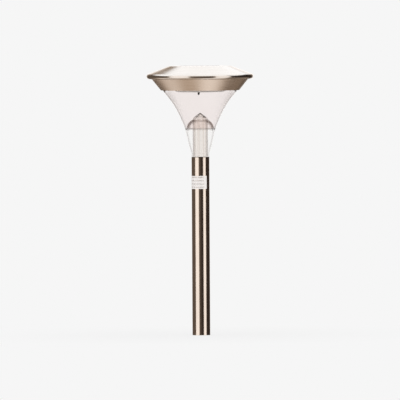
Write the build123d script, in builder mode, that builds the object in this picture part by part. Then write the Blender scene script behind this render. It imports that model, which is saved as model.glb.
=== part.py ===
from build123d import *
import math
import os

# A solar garden light: a steel pole that takes a ground spike in its lower end, a clear neck and a
# trumpet-shaped clear lens on it, and a stainless head with the solar panel, battery and LED.
# Millimetres, +Z up, origin at the centre of the pole's lower end, front towards -Y.

# ---- Driving dimensions -------------------------------------------------------------------------

# Pole
POLE_R = 12.5
POLE_BORE_R = 11.9
POLE_TOP = 250.0
POLE_EDGE = 0.15  # broken outer edges of the cut tube
PLUG_DEPTH = 26.0  # how far the neck's plug goes into the pole
PLUG_SOCKET_R = 12.1  # the bore is opened out for the plug
PLUG_R = 12.05

# Information label on the pole
LABEL_LOW = 205.5
LABEL_HIGH = 223.8
LABEL_THICKNESS = 0.12
LABEL_FIRST = -184.5  # degrees, from +X towards +Y
LABEL_LAST = -47.0

# Clear neck between the pole and the lens
NECK_FLARE = 256.0  # height where the neck starts to widen
NECK_TOP = 289.3
NECK_TOP_R = 20.7
NECK_WALL = 1.6
NECK_SOCKET_R = 17.6
NECK_SOCKET_LOW = 286.4
NECK_BULGE = 0.5  # how far the flare stands out from a straight cone

# Clear column that carries the light into the neck
COLUMN_R = 10.6
COLUMN_WALL = 2.0
COLUMN_LOW = 244.0
COLUMN_SHOULDER = 305.0
COLUMN_APEX = 312.5
COLUMN_ROUND = 6.0  # rounding between the tube and its tip
COLUMN_BORE_R = 10.7
COLUMN_STOP_R = 9.2

# Lens
LENS_FOOT_R = 21.3
LENS_FLARE = 290.3  # height where the wall starts to widen
LENS_SPIGOT_R = 17.55
LENS_SPIGOT_LOW = 287.2
LENS_MOUTH_R = 16.2
LENS_WALL = 2.0
COLLAR_R = 53.0
COLLAR_LOW = 345.4
COLLAR_TOP = 356.0

# Bayonet that holds the head on the lens
LOCK_ANGLES = (-90, 30, 150)
LUG_SPAN = 24.0  # degrees
LUG_R = 55.6
LUG_LOW = 353.0
LUG_HIGH = 355.0
LEDGE_SPAN = 26.0
LEDGE_R = 53.5
LEDGE_TOP = 352.7
TWIST = 30.0
STOP_SPAN = 2.0
STOP_GAP = 0.4  # degrees between a lug and the stop that it rests against

# Reflector dome around the column
DOME_R = 19.0
DOME_HEIGHT = 14.3
DOME_WALL = 1.4
DOME_HOLE_R = 10.75

# Stainless cap and skirt
SHEET = 0.6
CAP_TOP = 377.8
PLATEAU_R = 44.0
BEAD_R = 3.7
BEAD_CENTRE_R = 71.3
BEAD_CENTRE_Z = 363.5
BEAD_END_R = 68.7
SKIRT_LOW = 344.0
SKIRT_LOW_R = 55.1
SKIRT_SPREAD = 12.8 / 15.8  # radius gained for each millimetre of height
SKIRT_FLANGE_R = 71.0

# Solar panel, in a square window in the cap
WINDOW = 54.0
WINDOW_CORNER = 3.0
PANEL = 60.0
PANEL_FIT = 0.2  # gap round the panel in its frame
BOARD_LOW = 372.9
BOARD_THICKNESS = 1.6
CELL_COUNT = 4
CELL_WIDTH = 12.6
CELL_LENGTH = 52.0
CELL_GAP = 0.8
CELL_THICKNESS = 0.2
RIBBON_WIDTH = 1.2
RIBBON_THICKNESS = 0.1
RIBBON_OVERHANG = 1.4
COVER_POCKET = 55.6
COVER_POCKET_DEPTH = 0.4
COVER_POCKET_CORNER = 1.0
COVER_STEP = 1.7  # thickness of the cover outside the window
COVER_PROUD = 1.5  # how far its middle rises into the window
GASKET_OPENING = 55.0
FRAME_R = 43.5
FRAME_FLOOR = 1.5
FRAME_OPENING = 52.0
BOSS_R = 3.2
BOSS_CIRCLE_R = 40.0
BOSS_HOLE_R = 1.15
BOSS_HOLE_DEPTH = 9.0
BOSS_ANGLES = (45, 135, 225, 315)

# Head base: plate, bayonet ring and the well for the battery and the circuit board
PLATE_LOW = 357.6
PLATE_HIGH = 359.6
PLATE_R = 65.0
RING_R = 58.3
RING_INNER_R = 56.3
RING_LOW = 350.3
GASKET_WALL_R = 50.0
GASKET_WALL_INNER_R = 48.8
GASKET_WALL_LOW = 354.5
GASKET_OUTER_R = 53.3
GASKET_THICKNESS = 1.4
WELL_R = 35.5
WELL_WALL = 1.8
WELL_LOW = 341.5
FLOOR_TOP = 343.3

# Battery bay and battery (AA size)
BAY_X = 28.4  # half length inside
BAY_Y_LOW = 3.2
BAY_Y_HIGH = 18.0
BAY_CEILING = 358.8
BAY_WALL = 1.2
BATTERY_R = 7.25
BATTERY_CAN = 49.0
BATTERY_NUB = 1.5
BATTERY_NUB_R = 2.75
BATTERY_EDGE = 0.5
BATTERY_Z = 350.85
CONTACT = 0.4
CONTACT_WIDTH = 10.0
CONTACT_LOW = 346.0
TAB_WIDTH = 3.0
TAB_TOP = 362.4
SPRING_WIRE_R = 0.35
SPRING_R = 3.6
SPRING_TURNS = 3.5
SPRING_TAPER = 12  # degrees

# Battery door
DOOR_GAP = 0.3
HINGE_Y = 4.4
HINGE_Z = 342.4
HINGE_PIN_R = 0.7
HINGE_HOLE_R = 0.75
HINGE_PIN_REACH = 0.9
THUMB_R = 5.0
THUMB_DEPTH = 1.0
LIP_LENGTH = 16.0
LIP_THICKNESS = 0.7
LIP_HEIGHT = 2.0
LIP_SETBACK = 0.2

# Circuit board, LED and switch
PCB_LOW = 346.4
PCB_THICKNESS = 1.0
PCB_R = 32.6
PCB_EDGE_Y = 1.4
POST_R = 2.4
POST_HOLE_R = 0.95
POST_PLACES = ((24, -8), (-24, -8), (0, -27))
LED_X = -2.0
LED_Y = -2.0
LED_R = 1.5
LED_TIP = 338.0
LED_RIM_R = 1.9
LED_RIM_LOW = 341.7
LED_RIM_THICKNESS = 1.0
LEG_SPACING = 2.54
LEG = 0.5
LEG_HOLE_R = 0.45
LEG_END = 1.0  # how far the legs stand out of the board
SLEEVE_R = 2.1
SLEEVE_FLANGE_R = 3.2
SLEEVE_FLANGE = 0.8
CHIP_X = (2.0, 6.2)
CHIP_Y = (-15.6, -12.4)
CHIP_HEIGHT = 1.6
INDUCTOR_X = -10.0
INDUCTOR_Y = -14.0
INDUCTOR_R = 1.75
INDUCTOR_LENGTH = 9.0
INDUCTOR_EDGE = 0.6
INDUCTOR_LEAD_R = 0.3
INDUCTOR_LEAD_SPACING = 12.0
SWITCH_X = 16.0
SWITCH_Y = -14.0
SWITCH_TRAVEL = 3.0
SWITCH_BODY_X = 4.4  # half sizes
SWITCH_BODY_Y = 1.9
SWITCH_POCKET_HIGH = 345.2
FINGER_X = 6.5
FINGER_Y = 4.0
FINGER_DEPTH = 0.8
KNOB_WIDTH = 2.6
KNOB_DEPTH = 2.2
KNOB_LOW = 340.9
KNOB_HIGH = 344.8
GROOVE_PITCH = 0.7
GROOVE = 0.3  # width and depth
WIRE_R = 0.6

# Screws
FRAME_SCREW_HEAD_R = 2.6
FRAME_SCREW_HEAD = 1.8
FRAME_SCREW_LENGTH = 8.0
FRAME_SCREW_HOLE_R = 1.5
BOARD_SCREW_HEAD_R = 1.9
BOARD_SCREW_HEAD = 1.2
BOARD_SCREW_LENGTH = 4.0
BOARD_SCREW_HOLE_R = 1.2
RECESS_LENGTH = 1.1  # cross recess, as shares of the head's radius and height
RECESS_WIDTH = 0.24
RECESS_DEPTH = 0.55

FIT = 0.05  # running clearance between two pieces of one assembly
MIN = Align.MIN
MID = Align.CENTER

os.makedirs("parts", exist_ok=True)


# ---- Helpers ------------------------------------------------------------------------------------


def save(piece, label):
    """Name a finished piece and write it to its own file."""
    piece.part.label = label
    export_step(piece.part, f"parts/{label}.step")


def turn(points, mode=Mode.ADD):
    """Turn a closed outline of (radius, height) points about the vertical axis."""
    with BuildSketch(Plane.XZ) as outline:
        with BuildLine():
            Polyline(*points, close=True)
        make_face()
    revolve(outline.sketch, axis=Axis.Z, mode=mode)


def ring(inner, outer, low, high, mode=Mode.ADD):
    """A plain ring about the vertical axis."""
    turn([(inner, low), (outer, low), (outer, high), (inner, high)], mode)


def disc(radius, low, high, at=(0, 0), mode=Mode.ADD):
    """An upright cylinder between two heights."""
    with Locations((at[0], at[1], low)):
        Cylinder(radius, high - low, align=(MID, MID, MIN), mode=mode)


def block(x_range, y_range, z_range, mode=Mode.ADD):
    """A box between three pairs of limits."""
    lows, highs = zip(x_range, y_range, z_range)
    with Locations(lows):
        Box(*(high - low for low, high in zip(lows, highs)), align=(MIN, MIN, MIN), mode=mode)


def slab(side, corner, low, high, mode=Mode.ADD):
    """A square plate with rounded corners, centred on the vertical axis."""
    with BuildSketch(Plane.XY.offset(low)) as outline:
        RectangleRounded(side, side, corner)
    extrude(outline.sketch, amount=high - low, mode=mode)


def sector(inner, outer, first, last, low, high, mode=Mode.ADD):
    """A block bent about the vertical axis, between two radii and two angles in degrees."""
    with BuildSketch(Plane.XY.offset(low)) as outline:
        with BuildLine():
            inside = CenterArc((0, 0), inner, first, last - first)
            outside = CenterArc((0, 0), outer, first, last - first)
            Line(inside @ 0, outside @ 0)
            Line(inside @ 1, outside @ 1)
        make_face()
    extrude(outline.sketch, amount=high - low, mode=mode)


def beside(curve, share, distance):
    """The point this far to the left of a flat curve, at a share of its length."""
    along = curve % share
    return curve @ share + Vector(-along.Y, along.X) * distance


def pan_screw(at, head_z, head_r, head_height, shank_r, length, up):
    """A pan-head screw with a cross recess. Its shank points up or down from the head's seat."""
    x, y = at
    way = 1 if up else -1
    seat = Plane((x, y, head_z), z_dir=(0, 0, way))
    with BuildSketch(seat) as shank:
        Circle(shank_r)
    extrude(shank.sketch, amount=length)
    with BuildSketch(seat) as head:
        Circle(head_r)
    extrude(head.sketch, amount=-head_height)
    crown = Plane((x, y, head_z - way * head_height), z_dir=(0, 0, way))
    with BuildSketch(crown) as recess:
        Rectangle(head_r * RECESS_LENGTH, head_r * RECESS_WIDTH)
        Rectangle(head_r * RECESS_WIDTH, head_r * RECESS_LENGTH)
    extrude(recess.sketch, amount=head_height * RECESS_DEPTH, mode=Mode.SUBTRACT)


def skirt_radius(height):
    """The skirt's outer radius at a height."""
    return SKIRT_LOW_R + SKIRT_SPREAD * (height - SKIRT_LOW)


def bend_radii(points):
    """The largest even arc at each corner of a route: 0.45 of the shorter run, over tan(turn / 2)."""
    route = [Vector(*point) for point in points]
    radii = []
    for before, corner, after in zip(route, route[1:], route[2:]):
        into, out = corner - before, after - corner
        half_turn = math.radians(into.get_angle(out)) / 2
        radii.append(0.45 * min(into.length, out.length) / math.tan(half_turn))
    return radii


def wire(label, points):
    """An insulated wire along straight runs joined by tangent arcs."""
    radii = bend_radii(points)
    with BuildPart() as insulated_wire:
        with BuildLine() as route:
            FilletPolyline(*points, radius=radii)
        path = route.wire()
        with BuildSketch(Plane(origin=path @ 0, z_dir=path % 0)):
            Circle(WIRE_R)
        sweep(path=path)
    tube = math.pi * WIRE_R**2 * path.length
    print(f"{label}: {path.length:.1f} mm, smallest bend {min(radii):.1f} mm, "
          f"volume {insulated_wire.part.volume / tube:.4f} of its section times its length")
    save(insulated_wire, label)


# ---- Pole ---------------------------------------------------------------------------------------

with BuildPart() as pole_tube:
    turn(
        [
            (POLE_BORE_R, 0),
            (POLE_R - POLE_EDGE, 0),
            (POLE_R, POLE_EDGE),
            (POLE_R, POLE_TOP - POLE_EDGE),
            (POLE_R - POLE_EDGE, POLE_TOP),
            (PLUG_SOCKET_R, POLE_TOP),
            (PLUG_SOCKET_R, POLE_TOP - PLUG_DEPTH),
            (POLE_BORE_R, POLE_TOP - PLUG_DEPTH),
        ]
    )
save(pole_tube, "pole_tube")

# A thin film wrapped part of the way round the pole
with BuildPart() as pole_label:
    sector(POLE_R, POLE_R + LABEL_THICKNESS, LABEL_FIRST, LABEL_LAST, LABEL_LOW, LABEL_HIGH)
save(pole_label, "pole_label")

# ---- Neck, column, dome and lens ----------------------------------------------------------------

# The plug sits in the pole, its shoulder on the tube's end. The mouth takes the lens's spigot.
with BuildPart() as neck_funnel:
    with BuildSketch(Plane.XZ):
        with BuildLine():
            flare_mid = (
                (POLE_R + NECK_TOP_R) / 2 + NECK_BULGE,
                (NECK_FLARE + NECK_TOP) / 2,
            )
            flare = ThreePointArc((POLE_R, NECK_FLARE), flare_mid, (NECK_TOP_R, NECK_TOP))
            ledge_share = (NECK_SOCKET_LOW - NECK_FLARE) / (NECK_TOP - NECK_FLARE)
            bore = ThreePointArc(
                beside(flare, 0, NECK_WALL),
                beside(flare, ledge_share / 2, NECK_WALL),
                beside(flare, ledge_share, NECK_WALL),
            )
            Polyline(
                flare @ 1,
                (NECK_SOCKET_R, NECK_TOP),
                (NECK_SOCKET_R, (bore @ 1).Y),
                bore @ 1,
            )
            Polyline(
                bore @ 0,
                (COLUMN_BORE_R, POLE_TOP),
                (COLUMN_BORE_R, COLUMN_LOW),
                (COLUMN_STOP_R, COLUMN_LOW),
                (COLUMN_STOP_R, POLE_TOP - PLUG_DEPTH),
                (PLUG_R, POLE_TOP - PLUG_DEPTH),
                (PLUG_R, POLE_TOP),
                (POLE_R, POLE_TOP),
                flare @ 0,
            )
        make_face()
    revolve(axis=Axis.Z)
save(neck_funnel, "neck_funnel")

# A clear tube with a closed conical tip, rounded where the two meet
with BuildPart() as light_column:
    tip_height = COLUMN_APEX - COLUMN_SHOULDER
    tip_half_angle = math.atan2(COLUMN_R, tip_height)
    bore_apex = COLUMN_APEX - COLUMN_WALL / math.sin(tip_half_angle)
    column_bore_r = COLUMN_R - COLUMN_WALL
    bore_shoulder = bore_apex - column_bore_r / math.tan(tip_half_angle)
    turn(
        [
            (column_bore_r, COLUMN_LOW),
            (COLUMN_R, COLUMN_LOW),
            (COLUMN_R, COLUMN_SHOULDER),
            (0, COLUMN_APEX),
            (0, bore_apex),
            (column_bore_r, bore_shoulder),
        ]
    )
    rims = light_column.edges().filter_by(GeomType.CIRCLE)
    fillet(rims.filter_by(lambda rim: rim.center().Z > COLUMN_LOW), COLUMN_ROUND)
save(light_column, "light_column")

# A trumpet with a spigot below, a floor ring for the dome, and a collar with lugs inside the skirt
with BuildPart() as lens:
    with BuildSketch(Plane.XZ):
        with BuildLine():
            wall = Spline(
                (LENS_FOOT_R, LENS_FLARE),
                (30.5, 311.8),
                (43.5, 332.6),
                (COLLAR_R, COLLAR_LOW),
                tangents=[(0.36, 1), (0.5, 1)],
            )
            lining = Spline(*(beside(wall, share, LENS_WALL) for share in (0, 1 / 3, 2 / 3, 1)))
            lens_floor = (lining @ 0).Y
            Polyline(
                lining @ 0,
                (LENS_MOUTH_R, lens_floor),
                (LENS_MOUTH_R, LENS_SPIGOT_LOW),
                (LENS_SPIGOT_R, LENS_SPIGOT_LOW),
                (LENS_SPIGOT_R, NECK_TOP),
                (LENS_FOOT_R, NECK_TOP),
                wall @ 0,
            )
            Polyline(
                wall @ 1,
                (COLLAR_R, COLLAR_TOP),
                (COLLAR_R - LENS_WALL, COLLAR_TOP),
                (COLLAR_R - LENS_WALL, COLLAR_LOW + LENS_WALL),
                lining @ 1,
            )
        make_face()
    revolve(axis=Axis.Z)
    for middle in LOCK_ANGLES:
        sector(
            COLLAR_R - LENS_WALL / 2,
            LUG_R,
            middle - LUG_SPAN / 2,
            middle + LUG_SPAN / 2,
            LUG_LOW,
            LUG_HIGH,
        )
save(lens, "lens")

# A quarter ellipse turned round the column, standing on the lens's floor
with BuildPart() as reflector_dome:
    with BuildSketch(Plane.XZ):
        with Locations((0, lens_floor)):
            Ellipse(DOME_R, DOME_HEIGHT)
            Ellipse(DOME_R - DOME_WALL, DOME_HEIGHT - DOME_WALL, mode=Mode.SUBTRACT)
            Rectangle(2 * DOME_R, 2 * DOME_HEIGHT, align=(MID, Align.MAX), mode=Mode.SUBTRACT)
            Rectangle(
                DOME_R + DOME_HOLE_R,
                2 * DOME_HEIGHT,
                align=(Align.MAX, MID),
                mode=Mode.SUBTRACT,
            )
            with Locations((DOME_HOLE_R, 0)):
                Rectangle(2 * DOME_R, DOME_HEIGHT, align=(Align.MAX, MIN), mode=Mode.SUBTRACT)
    revolve(axis=Axis.Z)
save(reflector_dome, "reflector_dome")

# ---- Cap and skirt ------------------------------------------------------------------------------

# One sheet: a flat top with the panel's window, a cone, and a rolled bead that the cone runs into
with BuildPart() as top_cap:
    with BuildSketch(Plane.XZ):
        with BuildLine():
            bead_centre = Vector(BEAD_CENTRE_R, BEAD_CENTRE_Z)
            reach = bead_centre - Vector(PLATEAU_R, CAP_TOP)
            slope = math.atan2(-reach.Y, reach.X) - math.asin(BEAD_R / reach.length)
            upward = Vector(math.sin(slope), math.cos(slope))
            inner_bead_r = BEAD_R - SHEET
            bead_low = BEAD_CENTRE_Z - BEAD_R
            Polyline((0, CAP_TOP), (PLATEAU_R, CAP_TOP), bead_centre + upward * BEAD_R)
            ThreePointArc(
                bead_centre + upward * BEAD_R,
                (BEAD_CENTRE_R + BEAD_R, BEAD_CENTRE_Z),
                (BEAD_CENTRE_R, bead_low),
            )
            Polyline(
                (BEAD_CENTRE_R, bead_low),
                (BEAD_END_R, bead_low),
                (BEAD_END_R, bead_low + SHEET),
                (BEAD_CENTRE_R, bead_low + SHEET),
            )
            ThreePointArc(
                (BEAD_CENTRE_R, bead_low + SHEET),
                (BEAD_CENTRE_R + inner_bead_r, BEAD_CENTRE_Z),
                bead_centre + upward * inner_bead_r,
            )
            Polyline(
                bead_centre + upward * inner_bead_r,
                (PLATEAU_R - SHEET * math.tan(slope / 2), CAP_TOP - SHEET),
                (0, CAP_TOP - SHEET),
                (0, CAP_TOP),
            )
        make_face()
    revolve(axis=Axis.Z)
    slab(WINDOW, WINDOW_CORNER, CAP_TOP - SHEET, CAP_TOP, Mode.SUBTRACT)
save(top_cap, "top_cap")

# An inverted cone whose top edge turns out into the cap's bead
with BuildPart() as skirt:
    flange_low = BEAD_CENTRE_Z - BEAD_R + SHEET
    sheet_across = SHEET * math.hypot(1, SKIRT_SPREAD)  # the sheet's thickness, measured level
    turn(
        [
            (SKIRT_LOW_R, SKIRT_LOW),
            (skirt_radius(flange_low), flange_low),
            (SKIRT_FLANGE_R, flange_low),
            (SKIRT_FLANGE_R, flange_low + SHEET),
            (skirt_radius(flange_low + SHEET) - sheet_across, flange_low + SHEET),
            (SKIRT_LOW_R - sheet_across, SKIRT_LOW),
        ]
    )
save(skirt, "skirt")

# ---- Solar panel --------------------------------------------------------------------------------

board_top = BOARD_LOW + BOARD_THICKNESS
cover_shoulder = board_top + COVER_STEP
frame_low = BOARD_LOW - FRAME_FLOOR
cap_underside = CAP_TOP - SHEET

# Carrier under the cap, with a pocket for the panel and four bosses for the head base's screws
with BuildPart() as panel_frame:
    disc(FRAME_R, frame_low, cap_underside)
    for angle in BOSS_ANGLES:
        boss = Vector(BOSS_CIRCLE_R, 0).rotate(Axis.Z, angle)
        disc(BOSS_R, PLATE_HIGH, frame_low, (boss.X, boss.Y))
    slab(PANEL + 2 * PANEL_FIT, WINDOW_CORNER, BOARD_LOW, cap_underside, Mode.SUBTRACT)
    slab(FRAME_OPENING, WINDOW_CORNER, frame_low, BOARD_LOW, Mode.SUBTRACT)
    for angle in BOSS_ANGLES:
        boss = Vector(BOSS_CIRCLE_R, 0).rotate(Axis.Z, angle)
        disc(BOSS_HOLE_R, PLATE_HIGH, PLATE_HIGH + BOSS_HOLE_DEPTH, (boss.X, boss.Y), Mode.SUBTRACT)
save(panel_frame, "panel_frame")

with BuildPart() as panel_board:
    slab(PANEL, WINDOW_CORNER, BOARD_LOW, board_top)
save(panel_board, "panel_board")

cell_pitch = CELL_WIDTH + CELL_GAP
cell_places = [cell_pitch * (number - (CELL_COUNT - 1) / 2) for number in range(CELL_COUNT)]
for number, place in enumerate(cell_places, start=1):
    with BuildPart() as solar_cell:
        block(
            (place - CELL_WIDTH / 2, place + CELL_WIDTH / 2),
            (-CELL_LENGTH / 2, CELL_LENGTH / 2),
            (board_top, board_top + CELL_THICKNESS),
        )
    save(solar_cell, f"solar_cell_{number}")

# One ribbon down each cell, joined to the next at alternate ends
with BuildPart() as cell_ribbons:
    ribbon_low = board_top + CELL_THICKNESS
    ribbon_end = CELL_LENGTH / 2 + RIBBON_OVERHANG
    with BuildSketch(Plane.XY.offset(ribbon_low)):
        for number, place in enumerate(cell_places):
            with Locations((place, 0)):
                Rectangle(RIBBON_WIDTH, 2 * ribbon_end)
            if number + 1 < CELL_COUNT:
                side = 1 if number % 2 else -1
                with Locations((place + cell_pitch / 2, side * (ribbon_end - RIBBON_WIDTH / 2))):
                    Rectangle(cell_pitch, RIBBON_WIDTH)
    extrude(amount=RIBBON_THICKNESS)
save(cell_ribbons, "cell_ribbons")

# Clear cover with a raised middle that fills the cap's window
with BuildPart() as panel_cover:
    cover_middle = WINDOW - 2 * PANEL_FIT
    slab(PANEL, WINDOW_CORNER, board_top, cover_shoulder)
    slab(cover_middle, WINDOW_CORNER, cover_shoulder, cover_shoulder + COVER_PROUD)
    slab(COVER_POCKET, COVER_POCKET_CORNER, board_top, board_top + COVER_POCKET_DEPTH, Mode.SUBTRACT)
save(panel_cover, "panel_cover")

with BuildPart() as panel_gasket:
    slab(PANEL, WINDOW_CORNER, cover_shoulder, cap_underside)
    slab(GASKET_OPENING, WINDOW_CORNER, cover_shoulder, cap_underside, Mode.SUBTRACT)
save(panel_gasket, "panel_gasket")

# ---- Head base ----------------------------------------------------------------------------------

bay_side = BAY_X + BAY_WALL
hinge_hole = BAY_X + HINGE_PIN_REACH + FIT
tab_slot = TAB_WIDTH / 2 + FIT
bay_middle = (BAY_Y_LOW + BAY_Y_HIGH) / 2
ring_middle = (RING_INNER_R + RING_R) / 2
half_ledge = LEDGE_SPAN / 2

with BuildPart() as head_base:
    ring(WELL_R - WELL_WALL, PLATE_R, PLATE_LOW, PLATE_HIGH)
    ring(RING_INNER_R, RING_R, RING_LOW, PLATE_LOW)
    ring(GASKET_WALL_INNER_R, GASKET_WALL_R, GASKET_WALL_LOW, PLATE_LOW)
    disc(WELL_R, WELL_LOW, PLATE_LOW)
    disc(WELL_R - WELL_WALL, FLOOR_TOP, PLATE_LOW, mode=Mode.SUBTRACT)
    for middle in LOCK_ANGLES:
        # a ledge under each lug, a stop that it rests against and a stop where it comes free
        locked = middle + LUG_SPAN / 2 + STOP_GAP
        free = middle - LUG_SPAN / 2 - TWIST - STOP_GAP
        sector(LEDGE_R, ring_middle, middle - half_ledge, middle + half_ledge, RING_LOW, LEDGE_TOP)
        sector(LEDGE_R, ring_middle, locked, locked + STOP_SPAN, RING_LOW, PLATE_HIGH)
        sector(LEDGE_R, ring_middle, free - STOP_SPAN, free, RING_LOW, PLATE_HIGH)
    # battery bay, open downwards
    block((-bay_side, bay_side), (BAY_Y_LOW - BAY_WALL, BAY_Y_HIGH + BAY_WALL),
          (WELL_LOW, BAY_CEILING + BAY_WALL))
    block((-BAY_X, BAY_X), (BAY_Y_LOW, BAY_Y_HIGH), (WELL_LOW, BAY_CEILING), Mode.SUBTRACT)
    for end in (-1, 1):
        x_limits = sorted((end * (BAY_X - CONTACT - FIT), end * BAY_X))
        block(x_limits, (bay_middle - tab_slot, bay_middle + tab_slot),
              (BAY_CEILING, BAY_CEILING + BAY_WALL), Mode.SUBTRACT)
    with Locations(Location((-hinge_hole, HINGE_Y, HINGE_Z), (0, 90, 0))):
        Cylinder(HINGE_HOLE_R, 2 * hinge_hole, align=(MID, MID, MIN), mode=Mode.SUBTRACT)
    # thumb notch at the door's free edge
    with Locations((0, BAY_Y_HIGH, WELL_LOW)):
        Cylinder(THUMB_R, 2 * THUMB_DEPTH, mode=Mode.SUBTRACT)
    # posts for the circuit board
    for place in POST_PLACES:
        disc(POST_R, FLOOR_TOP, PCB_LOW, place)
        disc(POST_HOLE_R, FLOOR_TOP, PCB_LOW, place, Mode.SUBTRACT)
    # openings for the LED's sleeve and the switch's knob
    disc(SLEEVE_R + FIT, WELL_LOW, FLOOR_TOP, (LED_X, LED_Y), Mode.SUBTRACT)
    slot_x = (KNOB_WIDTH + SWITCH_TRAVEL) / 2 + DOOR_GAP
    slot_y = KNOB_DEPTH / 2 + DOOR_GAP
    block((SWITCH_X - slot_x, SWITCH_X + slot_x), (SWITCH_Y - slot_y, SWITCH_Y + slot_y),
          (WELL_LOW, FLOOR_TOP), Mode.SUBTRACT)
    # shallow recess for a fingertip round the knob
    block((SWITCH_X - FINGER_X, SWITCH_X + FINGER_X), (SWITCH_Y - FINGER_Y, SWITCH_Y + FINGER_Y),
          (WELL_LOW, WELL_LOW + FINGER_DEPTH), Mode.SUBTRACT)
    # holes for the screws into the panel frame
    for angle in BOSS_ANGLES:
        boss = Vector(BOSS_CIRCLE_R, 0).rotate(Axis.Z, angle)
        disc(FRAME_SCREW_HOLE_R, PLATE_LOW, PLATE_HIGH, (boss.X, boss.Y), Mode.SUBTRACT)
save(head_base, "head_base")

with BuildPart() as lens_gasket:
    ring(GASKET_WALL_R + DOOR_GAP, GASKET_OUTER_R, PLATE_LOW - GASKET_THICKNESS, PLATE_LOW)
save(lens_gasket, "lens_gasket")

with BuildPart() as frame_screws:
    for angle in BOSS_ANGLES:
        boss = Vector(BOSS_CIRCLE_R, 0).rotate(Axis.Z, angle)
        pan_screw(
            (boss.X, boss.Y),
            PLATE_LOW,
            FRAME_SCREW_HEAD_R,
            FRAME_SCREW_HEAD,
            BOSS_HOLE_R - FIT,
            FRAME_SCREW_LENGTH,
            up=True,
        )
save(frame_screws, "frame_screws")

# ---- Battery ------------------------------------------------------------------------------------

contact_x = BAY_X - CONTACT
battery_end = contact_x - FIT - BATTERY_NUB

with BuildPart() as battery:
    with BuildSketch(Plane(origin=(battery_end, bay_middle, BATTERY_Z), z_dir=(-1, 0, 0))) as can:
        Circle(BATTERY_R)
    extrude(can.sketch, amount=BATTERY_CAN)
    fillet(battery.edges().filter_by(GeomType.CIRCLE), BATTERY_EDGE)
    with BuildSketch(Plane(origin=(battery_end, bay_middle, BATTERY_Z), z_dir=(1, 0, 0))) as nub:
        Circle(BATTERY_NUB_R)
    extrude(nub.sketch, amount=BATTERY_NUB)
save(battery, "battery")

for label, end in (("contact_positive", 1), ("contact_negative", -1)):
    with BuildPart() as contact:
        x_limits = sorted((end * contact_x, end * BAY_X))
        half_width = CONTACT_WIDTH / 2
        block(x_limits, (bay_middle - half_width, bay_middle + half_width),
              (CONTACT_LOW, BAY_CEILING - FIT))
        block(x_limits, (bay_middle - TAB_WIDTH / 2, bay_middle + TAB_WIDTH / 2),
              (BAY_CEILING - FIT, TAB_TOP))
    save(contact, label)

# A coil that narrows from its plate to the battery's flat end
with BuildPart() as battery_spring:
    spring_start = -contact_x + SPRING_WIRE_R
    spring_length = battery_end - BATTERY_CAN - SPRING_WIRE_R - spring_start
    with BuildLine():
        coil = Helix(
            pitch=spring_length / SPRING_TURNS,
            height=spring_length,
            radius=SPRING_R,
            center=(spring_start, bay_middle, BATTERY_Z),
            direction=(1, 0, 0),
            cone_angle=-SPRING_TAPER,
        )
    with BuildSketch(Plane(origin=coil @ 0, z_dir=coil % 0)):
        Circle(SPRING_WIRE_R)
    sweep(path=coil, is_frenet=True)
save(battery_spring, "battery_spring")

# ---- Battery door -------------------------------------------------------------------------------

with BuildPart() as battery_door:
    door_x = BAY_X - DOOR_GAP
    door_edge = BAY_Y_HIGH - DOOR_GAP
    half_thickness = FLOOR_TOP - HINGE_Z
    block((-door_x, door_x), (HINGE_Y, door_edge), (WELL_LOW, FLOOR_TOP))
    # the hinged edge is round about the pins
    with Locations(Location((-door_x, HINGE_Y, HINGE_Z), (0, 90, 0))):
        Cylinder(half_thickness, 2 * door_x, align=(MID, MID, MIN))
    pin_end = BAY_X + HINGE_PIN_REACH
    with Locations(Location((-pin_end, HINGE_Y, HINGE_Z), (0, 90, 0))):
        Cylinder(HINGE_PIN_R, 2 * pin_end, align=(MID, MID, MIN))
    # lip that grips the bay's wall, and a thumb notch
    lip_y = door_edge - LIP_SETBACK
    block((-LIP_LENGTH / 2, LIP_LENGTH / 2), (lip_y - LIP_THICKNESS, lip_y),
          (FLOOR_TOP, FLOOR_TOP + LIP_HEIGHT))
    with Locations((0, BAY_Y_HIGH, WELL_LOW)):
        Cylinder(THUMB_R, 2 * THUMB_DEPTH, mode=Mode.SUBTRACT)
save(battery_door, "battery_door")

# ---- Circuit board, LED and switch --------------------------------------------------------------

pcb_top = PCB_LOW + PCB_THICKNESS
leg_places = [(LED_X + side * LEG_SPACING / 2, LED_Y) for side in (-1, 1)]

with BuildPart() as circuit_board:
    disc(PCB_R, PCB_LOW, pcb_top)
    block((-PCB_R, PCB_R), (PCB_EDGE_Y, PCB_R), (PCB_LOW, pcb_top), Mode.SUBTRACT)
    for place in POST_PLACES:
        disc(BOARD_SCREW_HOLE_R, PCB_LOW, pcb_top, place, Mode.SUBTRACT)
    for place in leg_places:
        disc(LEG_HOLE_R, PCB_LOW, pcb_top, place, Mode.SUBTRACT)
save(circuit_board, "circuit_board")

with BuildPart() as board_screws:
    for place in POST_PLACES:
        pan_screw(
            place,
            pcb_top,
            BOARD_SCREW_HEAD_R,
            BOARD_SCREW_HEAD,
            POST_HOLE_R - FIT,
            BOARD_SCREW_LENGTH,
            up=False,
        )
save(board_screws, "board_screws")

with BuildPart() as driver_chip:
    block(CHIP_X, CHIP_Y, (pcb_top, pcb_top + CHIP_HEIGHT))
save(driver_chip, "driver_chip")

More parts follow.
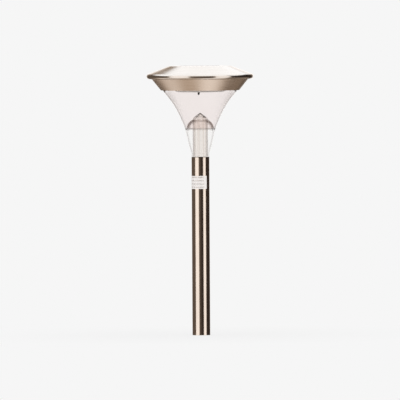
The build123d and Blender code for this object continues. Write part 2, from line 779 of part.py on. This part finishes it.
# A small axial coil lying on the board, with its two leads bent down
with BuildPart() as inductor:
    inductor_z = pcb_top + INDUCTOR_R
    lead_x = INDUCTOR_LEAD_SPACING / 2
    with Locations(Location((INDUCTOR_X, INDUCTOR_Y, inductor_z), (0, 90, 0))):
        Cylinder(INDUCTOR_R, INDUCTOR_LENGTH)
    fillet(inductor.edges(), INDUCTOR_EDGE)
    with Locations(Location((INDUCTOR_X, INDUCTOR_Y, inductor_z), (0, 90, 0))):
        Cylinder(INDUCTOR_LEAD_R, INDUCTOR_LEAD_SPACING)
    for x in (INDUCTOR_X - lead_x, INDUCTOR_X + lead_x):
        disc(INDUCTOR_LEAD_R, pcb_top, inductor_z, (x, INDUCTOR_Y))
save(inductor, "inductor")

with BuildPart() as led:
    disc(LED_R, LED_TIP + LED_R, LED_RIM_LOW, (LED_X, LED_Y))
    with Locations((LED_X, LED_Y, LED_TIP + LED_R)):
        Sphere(LED_R)
    disc(LED_RIM_R, LED_RIM_LOW, LED_RIM_LOW + LED_RIM_THICKNESS, (LED_X, LED_Y))
    for x, y in leg_places:
        block((x - LEG / 2, x + LEG / 2), (y - LEG / 2, y + LEG / 2),
              (LED_RIM_LOW + LED_RIM_THICKNESS, pcb_top + LEG_END))
save(led, "led")

# Black sleeve that holds the LED in the floor
with BuildPart() as led_sleeve:
    sleeve_top = FLOOR_TOP + SLEEVE_FLANGE
    disc(SLEEVE_R, WELL_LOW, FLOOR_TOP, (LED_X, LED_Y))
    disc(SLEEVE_FLANGE_R, FLOOR_TOP, sleeve_top, (LED_X, LED_Y))
    disc(LED_R + FIT, WELL_LOW, sleeve_top, (LED_X, LED_Y), Mode.SUBTRACT)
    disc(LED_RIM_R + FIT, LED_RIM_LOW, sleeve_top, (LED_X, LED_Y), Mode.SUBTRACT)
save(led_sleeve, "led_sleeve")

# Slide switch under the board, its knob in the floor's slot
knob_x = SWITCH_X - SWITCH_TRAVEL / 2
body_low = FLOOR_TOP + 2 * FIT

with BuildPart() as switch_body:
    block((SWITCH_X - SWITCH_BODY_X, SWITCH_X + SWITCH_BODY_X),
          (SWITCH_Y - SWITCH_BODY_Y, SWITCH_Y + SWITCH_BODY_Y), (body_low, PCB_LOW))
    block((SWITCH_X - slot_x, SWITCH_X + slot_x), (SWITCH_Y - slot_y, SWITCH_Y + slot_y),
          (body_low, SWITCH_POCKET_HIGH), Mode.SUBTRACT)
save(switch_body, "switch_body")

with BuildPart() as switch_knob:
    block((knob_x - KNOB_WIDTH / 2, knob_x + KNOB_WIDTH / 2),
          (SWITCH_Y - KNOB_DEPTH / 2, SWITCH_Y + KNOB_DEPTH / 2), (KNOB_LOW, KNOB_HIGH))
    # grip grooves
    for x in (knob_x - GROOVE_PITCH, knob_x, knob_x + GROOVE_PITCH):
        block((x - GROOVE / 2, x + GROOVE / 2), (SWITCH_Y - KNOB_DEPTH, SWITCH_Y + KNOB_DEPTH),
              (KNOB_LOW, KNOB_LOW + GROOVE), Mode.SUBTRACT)
save(switch_knob, "switch_knob")

# ---- Wires --------------------------------------------------------------------------------------

wire(
    "panel_wire_positive",
    [(6, -6, BOARD_LOW), (6, -6, 367), (8, -13, 360), (10, -20, 353.5), (10, -20, pcb_top)],
)
wire(
    "panel_wire_negative",
    [(-6, -6, BOARD_LOW), (-6, -6, 367), (-8.5, -14, 360), (-12, -22, 353.5), (-12, -22, pcb_top)],
)
# from each contact's tab, over the bay and down to the board
tab_wire_z = TAB_TOP - 1
wire(
    "battery_wire_positive",
    [
        (contact_x, bay_middle, tab_wire_z),
        (22.5, bay_middle, tab_wire_z),
        (18, 3, tab_wire_z + 0.8),
        (16.4, -6, 356.5),
        (16.4, -6, pcb_top),
    ],
)
wire(
    "battery_wire_negative",
    [
        (-contact_x, bay_middle, tab_wire_z),
        (-22.5, bay_middle, tab_wire_z),
        (-18.5, 3, tab_wire_z + 0.8),
        (-17, -6, 356.5),
        (-17, -6, pcb_top),
    ],
)
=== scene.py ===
import math

import bpy
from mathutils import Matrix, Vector


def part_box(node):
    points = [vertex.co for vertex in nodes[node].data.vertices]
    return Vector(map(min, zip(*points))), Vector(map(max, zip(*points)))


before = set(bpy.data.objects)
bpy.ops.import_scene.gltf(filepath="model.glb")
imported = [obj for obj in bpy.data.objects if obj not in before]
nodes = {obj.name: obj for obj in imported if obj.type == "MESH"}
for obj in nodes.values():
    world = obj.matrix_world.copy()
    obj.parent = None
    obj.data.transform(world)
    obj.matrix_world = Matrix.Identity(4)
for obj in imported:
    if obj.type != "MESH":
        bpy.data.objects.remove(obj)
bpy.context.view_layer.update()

MM = 0.001
scene = bpy.context.scene
scene.view_settings.view_transform = "Standard"


# ---- Node graphs --------------------------------------------------------------------------------


def srgb(r, g, b):
    """A colour from 0 to 255 as the linear values that Blender takes."""
    linear = [((c / 255 + 0.055) / 1.055) ** 2.4 if c > 10 else c / 255 / 12.92 for c in (r, g, b)]
    return (*linear, 1.0)


class Graph:
    """A node tree with short calls for the nodes that the materials and the studio share."""

    def __init__(self, tree):
        self.tree = tree

    def feed(self, value, socket):
        """Link an output to a socket, or set the socket to a plain value."""
        if isinstance(value, bpy.types.NodeSocket):
            self.tree.links.new(value, socket)
        else:
            socket.default_value = value

    def node(self, kind, inputs=None, **settings):
        made = self.tree.nodes.new("ShaderNode" + kind)
        for name, value in settings.items():
            setattr(made, name, value)
        for socket, value in (inputs or {}).items():
            self.feed(value, made.inputs[socket])
        return made

    def math(self, operation, first, second=0.0):
        return self.node("Math", {0: first, 1: second}, operation=operation).outputs[0]

    def span(self, value, low, high, to_low=0.0, to_high=1.0):
        """A value mapped smoothly from one range to another, and held beyond its ends."""
        ends = {"Value": value, "From Min": low, "From Max": high, "To Min": to_low, "To Max": to_high}
        return self.node("MapRange", ends, interpolation_type="SMOOTHSTEP").outputs[0]

    def band(self, value, low, high, soft):
        """One between two values and zero beyond them, with soft edges."""
        rise = self.span(value, low - soft, low + soft)
        fall = self.span(value, high - soft, high + soft, 1.0, 0.0)
        return self.math("MULTIPLY", rise, fall)

    def ramp(self, value, *stops):
        """A value as a colour, from (place, colour) stops."""
        made = self.node("ValToRGB", {0: value})
        elements = made.color_ramp.elements
        while len(elements) < len(stops):
            elements.new(0.5)
        for element, (place, colour) in zip(elements, stops):
            element.position = place
            element.color = colour
        return made.outputs[0]

    def blend(self, factor, first, second):
        """A mix of two colours."""
        return self.node("Mix", {0: factor, 6: first, 7: second}, data_type="RGBA").outputs[2]

    def place(self):
        """The x, y and z of a point in the object's own frame, in metres."""
        return self.node("SeparateXYZ", {0: self.node("TexCoord").outputs["Object"]}).outputs

    def noise(self, scale, stretch=(1, 1, 1), detail=2.0):
        """Noise in the object's own space, stretched along its axes. Scales are per metre."""
        spot = self.node("TexCoord").outputs["Object"]
        mapped = self.node("Mapping", {"Vector": spot, "Scale": stretch}).outputs[0]
        return self.node("TexNoise", {"Vector": mapped, "Scale": scale, "Detail": detail}).outputs[0]


# ---- Materials ----------------------------------------------------------------------------------


class Material(Graph):
    """A Principled material."""

    def __init__(self, name, colour, roughness, metallic=0.0, **sockets):
        self.data = bpy.data.materials.new(name)
        self.data.use_nodes = True
        super().__init__(self.data.node_tree)
        self.shader = self.tree.nodes["Principled BSDF"].inputs
        self.set(Base_Color=colour, Roughness=roughness, Metallic=metallic, **sockets)

    def set(self, **sockets):
        """Feed the shader's sockets, with _ for the spaces in their names."""
        for socket, value in sockets.items():
            self.feed(value, self.shader[socket.replace("_", " ")])

    def bump(self, height, depth_mm, strength=1.0):
        relief = self.node("Bump", {"Height": height, "Distance": depth_mm * MM, "Strength": strength})
        self.set(Normal=relief.outputs[0])


def steel(name, dark, light, roughness, grain_stretch, anisotropy=0.0, relief_mm=0.002):
    """Stainless sheet with fine lines drawn one way. Anisotropy is for lines that run round the axis."""
    made = Material(name, light, roughness, 1.0)
    grain = made.noise(1.0, grain_stretch, 3.0)
    cloud = made.noise(25.0)
    tone = made.math("ADD", made.math("MULTIPLY", grain, 0.7), made.math("MULTIPLY", cloud, 0.3))
    made.set(Base_Color=made.ramp(tone, (0.35, dark), (0.65, light)),
             Roughness=made.span(tone, 0.35, 0.65, roughness * 0.85, roughness * 1.2))
    if anisotropy:
        around = made.node("Tangent", direction_type="RADIAL", axis="Z").outputs[0]
        made.set(Anisotropic=anisotropy, Tangent=around)
    made.bump(grain, relief_mm, 0.3)
    return made.data


def clear(name, colour, edge, start=0.5, end=1.0, ior=1.49, roughness=0.02):
    """Clear moulded plastic, faintly wavy, with painted shade where a wall is seen edge on.

    That painted shade stands in for the dark room refracted in real edges; its share is kept as deep.
    Level faces have none, so floors and tops stay clear.
    """
    made = Material(name, colour, roughness, Transmission_Weight=1.0, IOR=ior)
    facing = made.node("LayerWeight", {"Blend": 0.5}).outputs["Facing"]
    normal = made.node("TexCoord").outputs["Normal"]
    level = made.math("ABSOLUTE", made.node("SeparateXYZ", {0: normal}).outputs["Z"])
    upright = made.span(level, 0.9, 0.98, 1.0, 0.0)
    # painted shade: the edge colour's share, strongest where the wall is seen edge on
    made.deep = made.math("MULTIPLY", made.span(facing, start, end), upright)
    made.set(Base_Color=made.blend(made.deep, colour, edge))
    made.bump(made.noise(60.0, detail=1.0), 0.02, 0.2)
    return made


def column_look():
    """Clear extruded tube with draw lines along it, painted edge shade, and dark opaque painted shade on
    its tip's edges.
    """
    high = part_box("light_column")[1][2]
    tip_from, tip_to = 8.5 * MM, 5.5 * MM  # below the point
    tip_shade_share = 0.9
    pale, streak = (0.995, 0.98, 0.965, 1), (0.88, 0.84, 0.81, 1)
    # side is the painted shade at the tube's edges, tip the darker painted shade at the edges of its
    # point
    side, tip = (0.50, 0.43, 0.39, 1), (0.10, 0.08, 0.07, 1)
    made = clear("column_clear", pale, side, 0.35, 0.75)
    lines = made.ramp(made.noise(1.0, (330, 330, 4)), (0.42, streak), (0.58, pale))
    in_tip = made.span(made.place()[2], high - tip_from, high - tip_to)
    made.set(Base_Color=made.blend(made.deep, lines, made.blend(in_tip, side, tip)))
    # painted shade at the tip's edges, where most of the see-through is taken away too
    painted_tip_shade = made.math("MULTIPLY", made.math("MULTIPLY", in_tip, made.deep), tip_shade_share)
    made.set(Transmission_Weight=made.math("SUBTRACT", 1.0, painted_tip_shade))
    return made.data


def lens_look():
    """Faintly rosy clear plastic, with a painted line of shade where it rests on the neck and no tint
    below.
    """
    rosy, plain = (0.97, 0.935, 0.925, 1), (0.995, 0.99, 0.985, 1)
    # line is painted shade for the lens floor seen edge on, edge the painted shade at the lens's edges
    line, edge = (0.62, 0.57, 0.55, 1), (0.86, 0.82, 0.80, 1)
    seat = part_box("neck_funnel")[1][2]
    line_width, line_blur, blur = 0.9 * MM, 0.15 * MM, 0.1 * MM
    made = clear("lens_clear", rosy, edge, ior=1.2)
    z = made.place()[2]
    above = made.span(z, seat - blur, seat + blur)
    body = made.blend(made.band(z, seat, seat + line_width, line_blur), rosy, line)
    made.set(Base_Color=made.blend(above, plain, made.blend(made.deep, body, edge)))
    return made.data


def led_look():
    """Clear resin, with the dark die cup showing in the tip."""
    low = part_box("led")[0][2]
    resin, cup = (0.93, 0.93, 0.93, 1), (0.03, 0.026, 0.024, 1)
    cup_to, resin_from = 2.2 * MM, 2.8 * MM  # above the tip
    # the grey is painted shade at the resin's edges
    made = clear("led_resin", resin, (0.75, 0.75, 0.75, 1))
    in_cup = made.span(made.place()[2], low + cup_to, low + resin_from, 1.0, 0.0)
    made.set(Base_Color=made.blend(in_cup, resin, cup),
             Transmission_Weight=made.math("SUBTRACT", 1.0, in_cup))
    return made.data


def plastic(name, colour, roughness=0.45, grain_mm=0.02):
    """Moulded plastic with a fine spark-eroded grain."""
    made = Material(name, colour, roughness)
    grain = made.noise(2500.0, detail=3.0)
    shade = made.noise(40.0)
    darker = tuple(c * 0.9 for c in colour[:3]) + (1,)
    made.set(Base_Color=made.ramp(shade, (0.35, darker), (0.65, colour)),
             Roughness=made.span(grain, 0.3, 0.7, roughness * 0.85, roughness * 1.15))
    made.bump(grain, grain_mm, 0.4)
    return made.data


def label_look():
    """A clear film printed white, where broken bars are left open so that the steel shows through."""
    row_count = 4.0
    turn_from, turn_to = 1.2, 2.9  # radians round the pole
    printed, bare = 0.96, 0.4  # how much the film covers
    made = Material("label_film", srgb(250, 245, 242), 0.35)
    x, y, z = made.place()
    low, high = (corner[2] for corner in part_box("pole_label"))
    turn = made.math("ARCTAN2", made.math("MULTIPLY", y, -1), x)
    level = made.math("DIVIDE", made.math("SUBTRACT", z, low), high - low)
    rows = made.band(made.math("FRACT", made.math("MULTIPLY", level, row_count)), 0.36, 0.68, 0.08)
    breaks = made.band(made.noise(900.0, (1, 1, 0.4)), 0.38, 0.8, 0.04)
    margins = made.band(turn, turn_from, turn_to, 0.02)
    bars = made.math("MULTIPLY", made.math("MULTIPLY", rows, breaks), margins)
    made.set(Alpha=made.span(bars, 0.0, 1.0, printed, bare))
    made.bump(made.noise(900.0), 0.01, 0.3)
    return made.data


def cell_look():
    """Silicon with fine silver fingers across it and a crystal mottle."""
    pitch = 1.9 * MM
    made = Material("solar_cell", (0.01, 0.015, 0.06, 1), 0.3, Specular_IOR_Level=0.2)
    spot = made.node("TexCoord").outputs["Object"]
    crystals = made.node("TexVoronoi", {"Vector": spot, "Scale": 260.0}).outputs["Color"]
    mottle = made.ramp(crystals, (0.2, (0.006, 0.012, 0.055, 1)), (0.8, (0.02, 0.045, 0.15, 1)))
    row = made.math("FRACT", made.math("DIVIDE", made.place()[1], pitch))
    finger = made.band(row, 0.46, 0.54, 0.02)
    made.set(Base_Color=made.blend(finger, mottle, (0.5, 0.52, 0.55, 1)), Metallic=finger)
    return made.data


def board_look(name, mask, copper):
    """Solder-masked laminate with the tracks showing as a lighter maze."""
    made = Material(name, mask, 0.35, Coat_Weight=0.4)
    tiles = {
        "Vector": made.node("TexCoord").outputs["Object"],
        "Scale": 110.0,
        "Mortar Size": 0.06,
        "Color1": mask,
        "Color2": mask,
        "Mortar": copper,
    }
    made.set(Base_Color=made.node("TexBrick", tiles).outputs["Color"])
    made.bump(made.noise(1500.0), 0.01, 0.3)
    return made.data


def battery_look():
    """A shrunk film jacket with a plain band at the positive end and a bare metal rim at both."""
    low, high = (corner[0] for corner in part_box("battery"))
    blur = 0.002  # this and the ends below are shares of the cell's length
    made = Material("battery_jacket", srgb(40, 110, 60), 0.25, Coat_Weight=0.5)
    share = made.math("DIVIDE", made.math("SUBTRACT", made.place()[0], low), high - low)
    band = made.band(share, 0.76, 0.945, blur)
    bare = made.math("SUBTRACT", 1.0, made.band(share, 0.012, 0.958, blur))
    jacket = made.blend(band, srgb(38, 112, 62), srgb(206, 208, 205))
    made.set(Base_Color=made.blend(bare, jacket, (0.72, 0.70, 0.66, 1)), Metallic=bare)
    made.bump(made.noise(300.0), 0.02, 0.4)
    return made.data


def metal(name, colour, roughness):
    """Small plated parts, with a cloudy finish."""
    made = Material(name, colour, roughness, 1.0)
    cloud = made.noise(600.0, detail=3.0)
    made.set(Roughness=made.span(cloud, 0.3, 0.7, roughness * 0.7, roughness * 1.4))
    made.bump(cloud, 0.01, 0.3)
    return made.data


# the pole's lines run along it, and those of the cap and the skirt run round them
ALONG, ROUND, ROUND_FINE = (3000, 3000, 12), (25, 25, 2000), (20, 20, 3500)
pole_steel = steel("pole_steel", (0.66, 0.58, 0.51, 1), (0.78, 0.70, 0.62, 1), 0.13, ALONG)
cap_steel = steel("cap_steel", (0.63, 0.58, 0.525, 1), (0.72, 0.665, 0.61, 1), 0.17, ROUND,
                  relief_mm=0.001)
skirt_steel = steel("skirt_steel", (0.60, 0.51, 0.43, 1), (0.72, 0.62, 0.53, 1), 0.27, ROUND_FINE,
                    anisotropy=0.7, relief_mm=0.003)
# the second colour of each clear part is the painted shade at its edges
neck_clear = clear("neck_clear", (0.995, 0.99, 0.985, 1), (0.85, 0.84, 0.82, 1), ior=1.12)
dome_clear = clear("dome_clear", (0.99, 0.97, 0.96, 1), (0.22, 0.17, 0.15, 1), 0.2, 0.8, ior=1.12)
panel_resin = clear("panel_resin", (0.98, 0.99, 1, 1), (0.9, 0.92, 0.95, 1), roughness=0.06)
white = plastic("white_plastic", srgb(238, 235, 230))
black = plastic("black_plastic", (0.018, 0.018, 0.018, 1))
nickel = metal("nickel_plate", (0.75, 0.73, 0.68, 1), 0.25)
zinc = metal("zinc_steel", (0.68, 0.69, 0.70, 1), 0.3)
green = board_look("green_board", (0.015, 0.10, 0.035, 1), (0.05, 0.20, 0.08, 1))
red_wire = plastic("red_insulation", (0.45, 0.02, 0.02, 1), 0.4, 0.005)
black_wire = plastic("black_insulation", (0.015, 0.015, 0.015, 1), 0.4, 0.005)
cell = cell_look()

LOOKS = {
    "pole_tube": pole_steel,
    "pole_label": label_look(),
    "neck_funnel": neck_clear.data,
    "light_column": column_look(),
    "reflector_dome": dome_clear.data,
    "lens": lens_look(),
    "top_cap": cap_steel,
    "skirt": skirt_steel,
    "panel_frame": black,
    "panel_board": green,
    "panel_cover": panel_resin.data,
    "panel_gasket": plastic("black_foam", (0.012, 0.012, 0.012, 1), 0.9, 0.1),
    "cell_ribbons": metal("tinned_copper", (0.80, 0.80, 0.78, 1), 0.3),
    "head_base": white,
    "battery_door": white,
    "lens_gasket": plastic("pale_silicone", (0.74, 0.72, 0.69, 1), 0.5),
    "frame_screws": zinc,
    "board_screws": zinc,
    "circuit_board": green,
    "driver_chip": black,
    "inductor": plastic("inductor_green", (0.03, 0.16, 0.06, 1), 0.25, 0.005),
    "switch_body": metal("switch_metal", (0.66, 0.67, 0.68, 1), 0.3),
    "switch_knob": black,
    "led": led_look(),
    "led_sleeve": black,
    "battery": battery_look(),
    "contact_positive": nickel,
    "contact_negative": nickel,
    "battery_spring": nickel,
    "panel_wire_positive": red_wire,
    "panel_wire_negative": black_wire,
    "battery_wire_positive": red_wire,
    "battery_wire_negative": black_wire,
}
LOOKS.update({f"solar_cell_{number}": cell for number in range(1, 5)})
for name, look in LOOKS.items():
    for material_slot in nodes[name].material_slots:
        material_slot.material = look

# ---- Studio -------------------------------------------------------------------------------------

# What the parts reflect is a room with +X to its right, the camera at -Y and the ceiling at +Z.
# A level from 0 to 1 says how light a place in it is, and ROOM_TONES gives the colour of a level.
PALE = srgb(246, 246, 246)
ROOM_STRENGTH = 1.35
CEILING = (1.0, 1.03, 1.07, 1)
SOFT_BOXES = ((-73, -24), (34, 70))  # degrees round from the camera's side to the right
BOX_BLUR = 3.5
# each round light has a direction, the half angles of its core and its edge in degrees, and a level
GROUND_LIGHTS = (
    ((0.31, -0.10, -0.95), 4, 26, 0.50),
    ((-0.58, 0.32, -0.75), 4, 25, 0.55),
    ((0.5, 0.65, -0.57), 6, 24, 0.12),
)
BACK_LIGHTS = (
    ((0.05, 1, 0.02), 8, 22, 0.98),
    ((0, 1, 0.35), 10, 40, 0.3),
)
ROOM_IN_GLASS = 0.3  # how far the room replaces the backdrop in rays that reflect inside a clear part
ROOM_TONES = (
    (0.0, (0.028, 0.020, 0.017, 1)),
    (0.5, (0.42, 0.335, 0.265, 1)),
    (1.0, (0.96, 0.925, 0.91, 1)),
)


def studio_world():
    """A pale backdrop, and for reflections a warm room with two tall soft boxes and a white ceiling."""
    world = bpy.data.worlds.new("studio")
    scene.world = world
    world.use_nodes = True
    graph = Graph(world.node_tree)
    graph.tree.nodes.clear()
    spot = graph.node("TexCoord").outputs["Generated"]
    x, y, z = graph.node("SeparateXYZ", {0: spot}).outputs
    azimuth = graph.math("DEGREES", graph.math("ARCTAN2", x, graph.math("MULTIPLY", y, -1.0)))

    def lobe(direction, inner, outer, level):
        """A round light that fades from its core to its edge."""
        aim = Vector(direction).normalized()
        near = graph.node("VectorMath", {0: spot, 1: aim}, operation="DOT_PRODUCT").outputs["Value"]
        return graph.span(near, math.cos(math.radians(outer)), math.cos(math.radians(inner)), 0.0, level)

    # a faint wall on the left, a dim one behind the camera above the horizon, and the ground
    side = graph.span(x, -0.5, 0.4, 0.09, 0.0)
    behind = graph.span(y, -0.7, -0.35, 1.0, 0.0)
    front = graph.math("MULTIPLY", graph.span(z, 0.1, 0.35, 0.0, 0.28), behind)
    ground = graph.math("ADD", graph.span(z, -0.5, -0.25, 0.14, 0.0),
                        graph.span(z, -1.0, -0.75, 0.36, 0.0))
    level = graph.math("ADD", graph.math("ADD", side, front), ground)
    for light in GROUND_LIGHTS:
        level = graph.math("ADD", level, lobe(*light))

    # the soft boxes, which fade out before they reach straight down
    left, right = (graph.band(azimuth, *ends, BOX_BLUR) for ends in SOFT_BOXES)
    boxes = graph.math("MULTIPLY", graph.math("ADD", left, right), graph.span(z, -0.98, -0.6, 0.0, 1.0))
    level = graph.math("MAXIMUM", level, boxes)
    for light in BACK_LIGHTS:
        level = graph.math("MAXIMUM", level, lobe(*light))

    # the ceiling, which comes lower on the near right and stays high behind the camera
    far_right = graph.span(x, 0.3, 0.45, 0.0, 0.25)
    ceiling_from = graph.math("ADD", graph.span(x, 0.0, 0.1, 0.44, 0.22), far_right)
    ceiling_full = graph.math("ADD", graph.span(x, 0.0, 0.1, 0.53, 0.36), far_right)
    reach = graph.math("MAXIMUM", graph.span(y, -0.4, 0.1), graph.span(z, 0.5, 0.75))
    ceiling = graph.math("MULTIPLY", graph.span(z, ceiling_from, ceiling_full), reach)

    tone = graph.blend(ceiling, graph.ramp(level, *ROOM_TONES), CEILING)
    room = graph.node("Background", {"Color": tone, "Strength": ROOM_STRENGTH})
    pale = graph.node("Background", {"Color": PALE})

    # the camera, soft light and rays straight through the clear parts see the backdrop
    ray = graph.node("LightPath").outputs
    inside = graph.math("MINIMUM", ray["Glossy Depth"], 1.0)
    straight = graph.math("SUBTRACT", 1.0, graph.math("MULTIPLY", inside, ROOM_IN_GLASS))
    through = graph.math("MULTIPLY", ray["Is Transmission Ray"], straight)
    direct = graph.math("MAXIMUM", ray["Is Camera Ray"], ray["Is Diffuse Ray"])
    seen = graph.math("MAXIMUM", direct, through)
    mixed = graph.node("MixShader", {0: seen, 1: room.outputs[0], 2: pale.outputs[0]})
    graph.node("OutputWorld", {"Surface": mixed.outputs[0]})


def floor():
    """A pale round floor that fades into the backdrop, and is clear from below."""
    radius, sides = 1.3, 96
    shadow_from, shadow_to = 0.03, 0.4  # metres from the pole, where the floor fades into the backdrop
    mesh = bpy.data.meshes.new("floor")
    turns = [2 * math.pi * side / sides for side in range(sides)]
    rim = [(radius * math.cos(turn), radius * math.sin(turn), 0) for turn in turns]
    mesh.from_pydata(rim, [], [tuple(range(sides))])
    sheet = bpy.data.objects.new("floor", mesh)
    scene.collection.objects.link(sheet)
    look = bpy.data.materials.new("floor")
    look.use_nodes = True
    graph = Graph(look.node_tree)
    graph.tree.nodes.clear()
    far = graph.node("VectorMath", {0: graph.node("TexCoord").outputs["Object"]}, operation="LENGTH")
    fade = graph.span(far.outputs["Value"], shadow_from, shadow_to, 0.8, 1.0)
    matte = graph.node("BsdfDiffuse", {"Color": (0.8, 0.8, 0.8, 1)})
    glow = graph.node("Emission", {"Color": PALE})
    sheet_look = graph.node("MixShader", {0: fade, 1: matte.outputs[0], 2: glow.outputs[0]})
    underside = graph.node("NewGeometry").outputs["Backfacing"]
    bare = graph.node("BsdfTransparent")
    mixed = graph.node("MixShader", {0: underside, 1: sheet_look.outputs[0], 2: bare.outputs[0]})
    graph.node("OutputMaterial", {"Surface": mixed.outputs[0]})
    mesh.materials.append(look)
    sheet.visible_glossy = False


studio_world()
floor()

# ---- Camera -------------------------------------------------------------------------------------

FRAME_HEIGHT = 0.5616  # metres seen from top to bottom at the object
CAMERA_DISTANCE = 16.0  # far off, because the photo has hardly any perspective
CAMERA_ELEVATION = math.radians(1.5)
CAMERA_ROLL = math.radians(0.32)
AIM = Vector((-0.00095, 0, 0.1897))
SENSOR = 36.0
CLIP_END = 50.0

camera_data = bpy.data.cameras.new("camera")
camera_data.sensor_width = SENSOR
camera_data.lens = SENSOR * CAMERA_DISTANCE / FRAME_HEIGHT
camera_data.clip_end = CLIP_END
camera = bpy.data.objects.new("camera", camera_data)
back = Vector((0, -math.cos(CAMERA_ELEVATION), math.sin(CAMERA_ELEVATION)))
camera.rotation_euler = (-back).to_track_quat("-Z", "Y").to_euler()
camera.rotation_euler.rotate_axis("Z", -CAMERA_ROLL)
camera.location = AIM + back * CAMERA_DISTANCE
scene.collection.objects.link(camera)
scene.camera = camera
